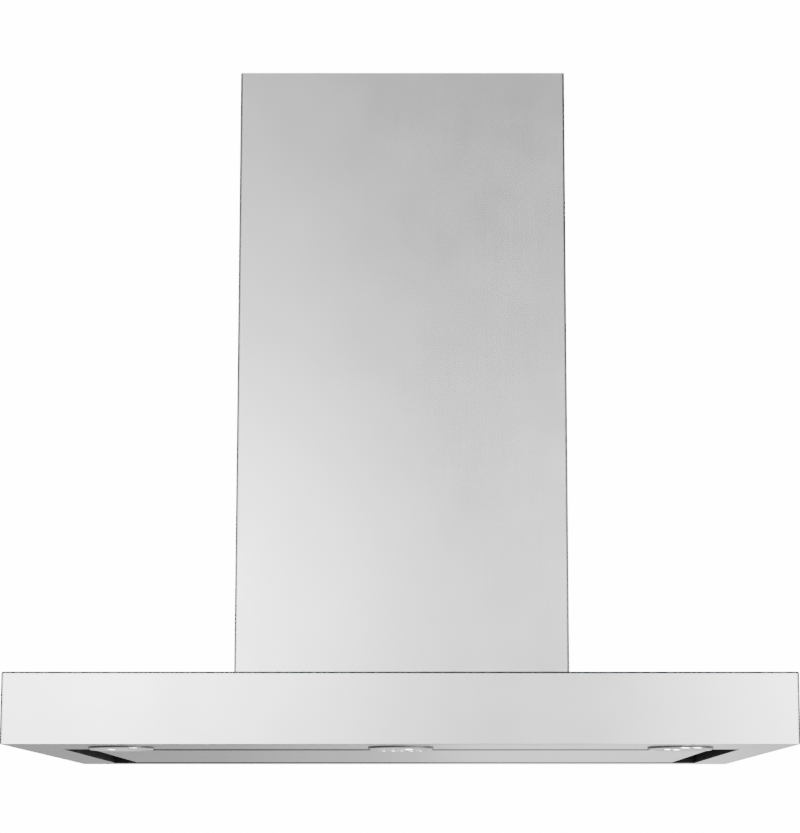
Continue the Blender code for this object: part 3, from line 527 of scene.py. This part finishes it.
def filter_meshes():
    """Expanded aluminium in two crossed layers, held in each filter's frame."""
    long_pitch, short_pitch = 0.0105, 0.0074
    for side in ("left", "right"):
        low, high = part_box(f"filter_mesh_{side}")
        data = bpy.data.curves.new(f"filter_strands_{side}", "CURVE")
        data.dimensions = "3D"
        data.bevel_depth = 0.00055
        data.bevel_resolution = 0
        tuck = 0.0010
        for layer, height in enumerate((low.z + 0.0012, high.z - 0.0012)):
            rows = int((high.y - low.y) / (short_pitch / 2))
            steps = int((high.x - low.x + 2 * tuck) / (long_pitch / 2))
            stretch = (high.x - low.x + 2 * tuck) / steps
            for row in range(rows):
                strand = data.splines.new("POLY")
                strand.points.add(steps)
                for step, point in enumerate(strand.points):
                    up = (step + row + layer) % 2 * 2 - 1
                    y = low.y + (row + 0.5 + layer * 0.25) * short_pitch / 2 + up * short_pitch * 0.21
                    point.co = (low.x - tuck + step * stretch, min(y, high.y), height + up * 0.0003, 1.0)
        item = bpy.data.objects.new(f"filter_strands_{side}", data)
        bpy.context.scene.collection.objects.link(item)
        dress(item, "filter_aluminium")
        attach(item, "canopy")
        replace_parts(item, f"filter_mesh_{side}")


def filter_fixings():
    """Corner rivets of the filter frames and the grip ribs of their latches."""
    shape = bmesh.new()
    for side in ("left", "right"):
        low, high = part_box(f"filter_frame_{side}")
        rear = high.y - 0.0070
        for x in (low.x + 0.0070, high.x - 0.0070):
            for y in (low.y + 0.0130, rear - 0.0070):
                rivet(shape, at((x, y, low.z), DOWN), 0.0024, 0.0007)
        grip = bmesh.new()
        low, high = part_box(f"filter_latch_{side}")
        plate = high.z - 0.0075 - 0.0020
        for row in range(5):
            y = low.y + 0.0140 + row * 0.0024
            block(grip, (low.x + 0.006, y, plate - 0.0007), (high.x - 0.006, y + 0.0010, plate + 0.0003))
        piece(f"latch_grip_{side}", grip, "latch_plastic", f"latch_{side}")
    piece("filter_frame_rivets", shape, "filter_aluminium", "canopy")


def hinge_fixings():
    """Screws of the panel hinges and the spot rivets of the stiffener."""
    fixed = bmesh.new()
    moving = bmesh.new()
    for side in ("left", "right"):
        low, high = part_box(f"panel_hinge_bracket_{side}")
        middle = (low.x + high.x) / 2
        for x in (middle - 0.0052, middle + 0.0052):
            pan_head(fixed, at((x, high.y - 0.0055, high.z - 0.0015), DOWN), 0.0026, 0.0016)
        low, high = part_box(f"panel_hinge_arm_{side}")
        middle = (low.x + high.x) / 2
        for x in (middle - 0.0072, middle + 0.0072):
            rivet(moving, at((x, low.y + 0.0080, low.z + 0.0015)), 0.0024, 0.0008)
            rivet(moving, at((x, low.y + 0.0175, low.z + 0.0015)), 0.0024, 0.0008)
    low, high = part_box("panel_stiffener")
    for y in (low.y + 0.0055, high.y - 0.0055):
        for number in range(7):
            x = low.x + 0.030 + number * (high.x - low.x - 0.060) / 6
            rivet(moving, at((x, y, low.z + 0.0012)), 0.0022, 0.0006)
    piece("hinge_bracket_screws", fixed, "chrome", "canopy")
    piece("panel_rivets", moving, "galvanised_frame", "suction_panel")


def lamp_details():
    """Finer bezels, ribbed lenses and lamp bodies with a reflector bowl and a board of light sources."""
    for side, x in (("left", -FITTING_X), ("right", FITTING_X)):
        place = at((x, FITTING_Y, 0))
        bezel = bmesh.new()
        inner = 0.0295
        flange = [(NECK_R, UNDERSIDE + 0.0100), (NECK_R, FITTING_SEAT), (FITTING_R, FITTING_SEAT)]
        for step in range(9):
            angle = math.radians(90 * step / 8)
            flange.append((FITTING_R - 0.0026 * (1 - math.cos(angle)),
                           FITTING_SEAT - 0.0009 - 0.0026 * math.sin(angle)))
        for step in range(9):
            angle = math.radians(90 * step / 8)
            flange.append((inner + 0.0030 * (1 - math.sin(angle)),
                           FITTING_SEAT - 0.0009 - 0.0026 * math.cos(angle)))
        flange += [(inner, UNDERSIDE + 0.0100), (NECK_R, UNDERSIDE + 0.0100)]
        lathe(bezel, flange, place, 96)
        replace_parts(piece(f"lamp_ring_{side}", bezel, "chrome", "canopy"), f"lamp_bezel_{side}")
        lens = bmesh.new()
        profile = [(0, UNDERSIDE - 0.0024)]
        for step in range(1, 13):
            radius = LENS_R * step / 12
            profile.append((radius, UNDERSIDE - 0.0024 + 0.0016 * (step / 12) ** 2))
        profile.append((LENS_R, UNDERSIDE + 0.0010))
        for step in range(13, 0, -1):
            radius = (LENS_R - 0.0008) * step / 13
            profile += [(radius, UNDERSIDE + 0.0002), (radius - 0.0006, UNDERSIDE - 0.0005)]
        profile.append((0, UNDERSIDE - 0.0005))
        lathe(lens, profile, place, 96)
        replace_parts(piece(f"lamp_cover_{side}", lens, "lamp_glass", "canopy"), f"lamp_lens_{side}")
        body = bmesh.new()
        rim = 0.0292
        stack = [(0, UNDERSIDE + 0.0290), (0.0180, UNDERSIDE + 0.0290)]
        for fin in range(4):
            height = UNDERSIDE + 0.0272 - 0.0038 * fin
            stack += [(0.0180, height), (rim, height), (rim, height - 0.0013), (0.0180, height - 0.0013)]
        stack += [(0.0180, UNDERSIDE + 0.0118), (rim, UNDERSIDE + 0.0118), (rim, UNDERSIDE + 0.0013),
                  (rim - 0.0012, UNDERSIDE + 0.0013), (rim - 0.0052, UNDERSIDE + 0.0050),
                  (rim - 0.0098, UNDERSIDE + 0.0078), (0.0150, UNDERSIDE + 0.0088),
                  (0, UNDERSIDE + 0.0088)]
        lathe(body, stack, place, 64)
        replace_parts(piece(f"lamp_heat_sink_{side}", body, "filter_aluminium", "canopy"), f"lamp_body_{side}")
        board = bmesh.new()
        lathe(board, [(0, UNDERSIDE + 0.0087), (0.0140, UNDERSIDE + 0.0087), (0.0140, UNDERSIDE + 0.0078),
                      (0, UNDERSIDE + 0.0078)], place, 48)
        for number in range(9):
            turn = 2 * math.pi * number / 8
            radius = 0.0092 if number < 8 else 0.0
            spot = at((x + radius * math.cos(turn), FITTING_Y + radius * math.sin(turn),
                       UNDERSIDE + 0.0078), DOWN)
            block(board, (-0.0016, -0.0016, -0.0002), (0.0016, 0.0016, 0.0006), spot)
            lathe(board, [(0.0011, 0.0005), (0.0009, 0.0011), (0.0005, 0.0014), (0, 0.0015)], spot, 16)
        piece(f"lamp_board_{side}", board, "driver_plastic", "canopy")


def dark_reflection_rings():
    """Black ring between each round fitting and the sheet that it sits under: a painted dark reflection round
    each chrome rim.
    """
    shape = bmesh.new()
    for x in (-FITTING_X, 0.0, FITTING_X):
        outer = FITTING_R + 0.0011
        inner = FITTING_R + 0.0001
        lathe(shape, [(inner, UNDERSIDE), (outer, UNDERSIDE), (outer, UNDERSIDE - 0.0016),
                      (outer - 0.0003, UNDERSIDE - 0.0020), (inner, UNDERSIDE - 0.0020), (inner, UNDERSIDE)],
              at((x, FITTING_Y, 0)), 96)
    piece("fitting_dark_reflection_rings", shape, "black_plastic", "canopy")


def control_face():
    """Shallow rings turned into the control's face, round the row of buttons."""
    face = CONTROL_FACE
    shape = bmesh.new()
    for radius in (0.0300, 0.0325):
        lathe(shape, [(radius - 0.0005, face + 0.0002), (radius - 0.0003, face - 0.0003),
                      (radius + 0.0003, face - 0.0003), (radius + 0.0005, face + 0.0002),
                      (radius - 0.0005, face + 0.0002)], at((0, FITTING_Y, 0)), 96)
    piece("control_face_rings", shape, "chrome", "canopy")


def button_details():
    """Turned buttons with a dished face, an edge groove and a raised pip."""
    face = CONTROL_FACE
    tip = face - 0.0017
    radius = 0.0043
    for number in range(1, 6):
        low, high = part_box(f"button_{number}")
        place = at(((low.x + high.x) / 2, FITTING_Y, 0))
        shape = bmesh.new()
        lathe(shape, [(0, UNDERSIDE + 0.0075), (0.0025, UNDERSIDE + 0.0075), (0.0025, face + 0.0028),
                      (radius + 0.0008, face + 0.0028), (radius + 0.0008, face + 0.0018),
                      (radius, face + 0.0018), (radius, tip + 0.00055), (radius - 0.00012, tip + 0.00025),
                      (radius - 0.00035, tip + 0.00005), (radius - 0.0007, tip), (radius - 0.0012, tip),
                      (radius - 0.00135, tip + 0.0003), (radius - 0.0016, tip + 0.0003),
                      (radius - 0.00175, tip + 0.00012), (0.0016, tip + 0.0004), (0.0009, tip + 0.0005),
                      (0.0008, tip + 0.0003), (0.0006, tip + 0.00014), (0.0003, tip + 0.00006),
                      (0, tip + 0.00004)], place, 56)
        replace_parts(piece(f"button_cap_{number}", shape, "button_metal", f"button_{number}"),
                    f"button_{number}")


def impeller_details():
    """Wheel with its full set of forward-curved blades."""
    low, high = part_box("impeller")
    axis_y, axis_z = (low.y + high.y) / 2, (low.z + high.z) / 2
    radius = (high.z - low.z) / 2
    bore = 0.0560
    half = (high.x - low.x) / 2
    middle = (low.x + high.x) / 2
    shape = bmesh.new()
    lathe(shape, [(0.0041, -0.0010), (0.0110, -0.0010), (radius, -0.0010), (radius, 0.0010),
                  (0.0110, 0.0010), (0.0105, 0.0125), (0.0041, 0.0130), (0.0041, -0.0010)],
          at((middle, axis_y, axis_z), RIGHTWARDS), 72)
    for end in (-1, 1):
        ring = at((middle + end * (half - 0.0010), axis_y, axis_z), RIGHTWARDS)
        lathe(shape, [(bore - 0.001, -0.0010), (radius, -0.0010), (radius, 0.0010), (bore - 0.001, 0.0010),
                      (bore - 0.001, -0.0010)], ring, 72)
    for blade in range(42):
        start = 2 * math.pi * blade / 42
        rows = []
        for step in range(6):
            share = step / 5
            angle = start + 0.16 * share ** 1.8
            reach = bore + (radius - bore - 0.0006) * share
            for thick in (0.0, 0.0007):
                turn = angle + thick / reach
                rows.append([shape.verts.new((middle + side * (half - 0.001), axis_y + reach * math.cos(turn),
                                              axis_z + reach * math.sin(turn))) for side in (-1, 1)])
        for step in range(5):
            near, far = rows[2 * step], rows[2 * step + 2]
            near_back, far_back = rows[2 * step + 1], rows[2 * step + 3]
            shape.faces.new((near[0], near[1], far[1], far[0]))
            shape.faces.new((near_back[0], far_back[0], far_back[1], near_back[1]))
        shape.faces.new((rows[0][0], rows[1][0], rows[1][1], rows[0][1]))
        shape.faces.new((rows[10][0], rows[10][1], rows[11][1], rows[11][0]))
    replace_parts(piece("fan_wheel", shape, "black_plastic", "wheel"), "impeller")


def frame_fixings():
    """Bolts of the frame legs, screws of the covers, collar, motor bracket and junction box."""
    bolts = bmesh.new()
    for sign_x in (-1, 1):
        for sign_y in (-1, 1):
            turn = BACKWARDS if sign_y > 0 else FORWARDS
            for height in LEG_BOLT_HEIGHTS:
                hex_bolt(bolts, at((sign_x * LEG_BOLT_X, sign_y * LEG_BOLT_Y, height), turn), 0.0042, 0.0030)
    piece("leg_bolts", bolts, "chrome", "ceiling_frame")
    upper = bmesh.new()
    lower = bmesh.new()
    upper_side, lower_side = 0.2030, 0.2050
    for sign, turn in ((-1, LEFTWARDS), (1, RIGHTWARDS)):
        for y in (-0.030, 0.030):
            flat_head(upper, at((sign * upper_side, y, UPPER_SCREW_HEIGHT), turn), 0.0030, 0.0004)
        for y in (-0.014, 0.014):
            for height in LOWER_SCREW_HEIGHTS:
                flat_head(lower, at((sign * lower_side, y, height), turn), 0.0030, 0.0006)
    piece("upper_cover_screws", upper, "chrome", "ceiling_frame")
    piece("lower_cover_screws", lower, "chrome", "canopy")
    inner = bmesh.new()
    for number in range(6):
        angle = math.radians(30 + 60 * number)
        pan_head(inner, at((COLLAR_SCREW_RING_R * math.cos(angle), COLLAR_SCREW_RING_R * math.sin(angle),
                            COLLAR_FLANGE_TOP)), 0.0026, 0.0016)
    low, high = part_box("motor_bracket")
    for number in range(3):
        angle = math.radians(120 * number)
        pan_head(inner, at((low.x, WHEEL_AXIS_Y + MOTOR_SCREW_RING_R * math.cos(angle),
                            WHEEL_AXIS_Z + MOTOR_SCREW_RING_R * math.sin(angle)), LEFTWARDS), 0.0028, 0.0017)
    low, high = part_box("junction_cover")
    for y in (low.y + 0.007, high.y - 0.007):
        for z in (low.z + 0.008, high.z - 0.008):
            pan_head(inner, at((low.x, y, z), LEFTWARDS), 0.0028, 0.0016)
    piece("inner_screws", inner, "chrome", "canopy")


def seam_strips():
    """Thin lap strips behind the seams of the upper and the lower cover, one on each side."""
    half_width, thickness, margin = 0.009, 0.0004, 0.0001
    tab_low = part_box("ceiling_plate")[0].z
    for cover, body, top in (("upper", "ceiling_frame", tab_low - 0.002), ("lower", "canopy", -0.003)):
        shape = bmesh.new()
        low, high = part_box(f"{cover}_cover_front")
        outer = high.x - COVER_SHEET - margin
        for sign in (-1, 1):
            near, far = sorted((sign * outer, sign * (outer - thickness)))
            block(shape, (near, -half_width, low.z + 0.003), (far, half_width, top))
        piece(f"{cover}_cover_seam_strips", shape, "galvanised_frame", body)


def soften_frame():
    """Small rounded edges on the CAD nodes that are folded, cut or moulded."""
    small = ["canopy_shell", "bottom_frame", "suction_panel", "upper_cover_front", "upper_cover_rear",
             "lower_cover_front", "lower_cover_rear", "filter_shelf", "cavity_wall", "panel_stiffener",
             "ceiling_plate", "blower_casing", "junction_cover"]
    middling = ["filter_frame_left", "filter_frame_right", "filter_latch_left", "filter_latch_right",
                "lamp_driver", "panel_magnet", "control_housing", "motor"]
    for names, width in ((small, 0.0004), (middling, 0.0007)):
        for name in names:
            soften(frame["nodes"][name], width)


def add_details():
    filter_meshes()
    filter_fixings()
    hinge_fixings()
    lamp_details()
    dark_reflection_rings()
    control_face()
    button_details()
    impeller_details()
    frame_fixings()
    seam_strips()
    soften_frame()


# Camera and light ---------------------------------------------------------------------------------

def camera():
    low, high = CAD_BOX
    data = bpy.data.cameras.new("camera")
    data.lens = CAMERA_LENS
    data.sensor_width = 36.0
    data.shift_x, data.shift_y = CAMERA_SHIFT
    item = bpy.data.objects.new("camera", data)
    bpy.context.scene.collection.objects.link(item)
    item.location = (CAMERA_RIGHT, low.y - CAMERA_FROM_FRONT, high.z - CAMERA_BELOW_TOP)
    item.rotation_euler = (math.pi / 2 + CAMERA_TILT, 0, 0)
    bpy.context.scene.camera = item


# Strength of the world that lights the steel, by the direction's height or its bearing to the right
LEVEL_BY_HEIGHT = [(-1.0, 0.9), (-0.2, 1.1), (0.0, 1.30), (0.06, 1.26), (0.15, 1.08), (0.22, 1.02),
                   (0.30, 0.68), (0.38, 0.46), (0.48, 0.48), (0.65, 0.85), (1.0, 1.10)]
SIDES_BY_BEARING = [(-1.0, 1.6), (-0.40, 2.2), (-0.24, 4.0), (-0.16, 6.2), (-0.11, 8.0), (-0.07, 5.4),
                    (-0.03, 1.1), (0.02, 0.0), (0.07, 0.0), (0.11, 0.5), (0.15, 5.4), (0.22, 10.5),
                    (0.40, 3.2), (1.0, 1.8)]
SIDES_BY_HEIGHT = [(-1.0, 0.2), (-0.2, 0.4), (0.02, 0.60), (0.085, 2.6), (0.15, 0.80), (0.22, 0.25),
                   (0.35, 0.12), (1.0, 0.1)]
BACK_BY_BEARING = [(-1.0, 1.2), (-0.3, 0.8), (-0.15, 0.55), (-0.05, 0.85), (0.0, 1.25), (0.04, 1.95),
                   (0.09, 1.95), (0.15, 1.3), (0.3, 1.2), (1.0, 1.4)]
BACKDROP_STRENGTH = 19.0    # what the camera itself sees behind the hood
FLOOR_RADIUS = 14.0
FLOOR_GLOW = 2.6
FLOOR_FADE = (1.5, 9.0)     # distances from the middle between which the floor fades out


def studio_world():
    """Even white backdrop for the camera, and a separate fitted gradient that lights the steel.

    The gradient's strengths were fitted to the brightness of the steel. It has two narrow
    bright bands in front of the hood and a dark gap between them.
    """
    world = bpy.data.worlds.new("studio")
    bpy.context.scene.world = world
    world.use_nodes = True
    tree = world.node_tree
    tree.nodes.clear()

    def node(kind, **values):
        made = tree.nodes.new(kind)
        for key, value in values.items():
            setattr(made, key, value)
        return made

    def spread(value, a, b, c, d):
        made = node("ShaderNodeMapRange", interpolation_type="SMOOTHSTEP")
        for socket, number in zip(("From Min", "From Max", "To Min", "To Max"), (a, b, c, d)):
            made.inputs[socket].default_value = number
        tree.links.new(value, made.inputs["Value"])
        return made.outputs["Result"]

    def combine(operation, first, second):
        made = node("ShaderNodeMath", operation=operation)
        for socket, value in zip(made.inputs, (first, second)):
            if isinstance(value, (int, float)):
                socket.default_value = value
            else:
                tree.links.new(value, socket)
        return made.outputs["Value"]

    def profile(value, points):
        """A smooth curve through (value, strength) points."""
        first, last = points[0][0], points[-1][0]
        most = max(strength for _, strength in points)
        made = node("ShaderNodeFloatCurve")
        curve = made.mapping.curves[0]
        for _ in points[2:]:
            curve.points.new(0.5, 0.5)
        for knot, (place, strength) in zip(curve.points, points):
            knot.location = ((place - first) / (last - first), strength / most)
        made.mapping.update()
        share = combine("DIVIDE", combine("SUBTRACT", value, first), last - first)
        tree.links.new(share, made.inputs["Value"])
        return combine("MULTIPLY", made.outputs["Value"], most)

    split = node("ShaderNodeSeparateXYZ")
    tree.links.new(node("ShaderNodeTexCoord").outputs["Generated"], split.inputs["Vector"])
    x, y, z = (split.outputs[k] for k in "XYZ")
    level = profile(z, LEVEL_BY_HEIGHT)
    sides = combine("MULTIPLY", profile(x, SIDES_BY_BEARING), profile(z, SIDES_BY_HEIGHT))
    front = combine("ADD", level, sides)
    back = profile(x, BACK_BY_BEARING)
    behind = spread(y, -0.10, 0.10, 0.0, 1.0)
    mix = node("ShaderNodeMix", data_type="FLOAT")
    tree.links.new(behind, mix.inputs["Factor"])
    tree.links.new(front, mix.inputs["A"])
    tree.links.new(back, mix.inputs["B"])
    path = node("ShaderNodeLightPath")
    seen = node("ShaderNodeMix", data_type="FLOAT")
    seen.inputs["B"].default_value = BACKDROP_STRENGTH
    tree.links.new(path.outputs["Is Camera Ray"], seen.inputs["Factor"])
    tree.links.new(mix.outputs["Result"], seen.inputs["A"])
    background = node("ShaderNodeBackground")
    tree.links.new(seen.outputs["Result"], background.inputs["Strength"])
    tree.links.new(background.outputs["Background"], node("ShaderNodeOutputWorld").inputs["Surface"])


def floor():
    """Pale floor that glows evenly for the camera, fades out with distance and is clear from below."""
    low, _ = CAD_BOX
    mesh = bpy.data.meshes.new("floor")
    shape = bmesh.new()
    bmesh.ops.create_circle(shape, cap_ends=True, segments=96, radius=FLOOR_RADIUS)
    shape.to_mesh(mesh)
    shape.free()
    item = bpy.data.objects.new("floor", mesh)
    bpy.context.scene.collection.objects.link(item)
    item.location = (0, 0, low.z - FLOOR_DROP)
    made = Finish("floor_paint", (0.82, 0.82, 0.81), 0.0, 0.6)
    made.tint(made.noise((1.3, 1.3, 1.3), detail=4.0), 0.98, 1.02)
    glow = made.node("ShaderNodeEmission")
    glow.inputs["Strength"].default_value = FLOOR_GLOW
    path = made.node("ShaderNodeLightPath")
    lit = made.node("ShaderNodeMixShader")
    made.link(path.outputs["Is Camera Ray"], lit.inputs["Fac"])
    made.link(made.shader.outputs["BSDF"], lit.inputs[1])
    made.link(glow.outputs["Emission"], lit.inputs[2])
    place = made.node("ShaderNodeTexCoord")
    reach = made.node("ShaderNodeVectorMath", operation="LENGTH")
    made.link(place.outputs["Object"], reach.inputs[0])
    fade = made.ramp(reach.outputs["Value"], 0.0, 1.0, *FLOOR_FADE)
    side = made.node("ShaderNodeNewGeometry")
    gone = made.math("MAXIMUM", side.outputs["Backfacing"], fade)
    clear = made.node("ShaderNodeBsdfTransparent")
    choose = made.node("ShaderNodeMixShader")
    made.link(gone, choose.inputs["Fac"])
    made.link(lit.outputs["Shader"], choose.inputs[1])
    made.link(clear.outputs["BSDF"], choose.inputs[2])
    made.link(choose.outputs["Shader"], made.tree.nodes["Material Output"].inputs["Surface"])
    item.data.materials.append(made.material)


def softbox(name, place, target, width, height, power):
    data = bpy.data.lights.new(name, "AREA")
    data.shape = "RECTANGLE"
    data.size = width
    data.size_y = height
    data.energy = power
    item = bpy.data.objects.new(name, data)
    bpy.context.scene.collection.objects.link(item)
    item.location = place
    item.rotation_euler = (Vector(target) - Vector(place)).to_track_quat("-Z", "Y").to_euler()


def studio_light():
    """Two soft lights above, and two small ones below that glint on the round fittings."""
    low, high = CAD_BOX
    middle = (low + high) / 2
    softbox("key", (-2.2, -2.4, 0.9), middle, 1.6, 1.6, 45)
    softbox("rim", (2.4, 1.6, 0.8), middle, 1.4, 1.4, 30)
    softbox("glint", (1.25, -0.75, low.z - 0.55), (0.1, FITTING_Y, low.z), 0.60, 0.25, 24)
    softbox("glint_left", (0.45, -0.85, low.z - 0.55), (-FITTING_X, FITTING_Y, low.z), 0.45, 0.20, 9)


dress_frame()
add_details()
camera()
studio_world()
floor()
studio_light()
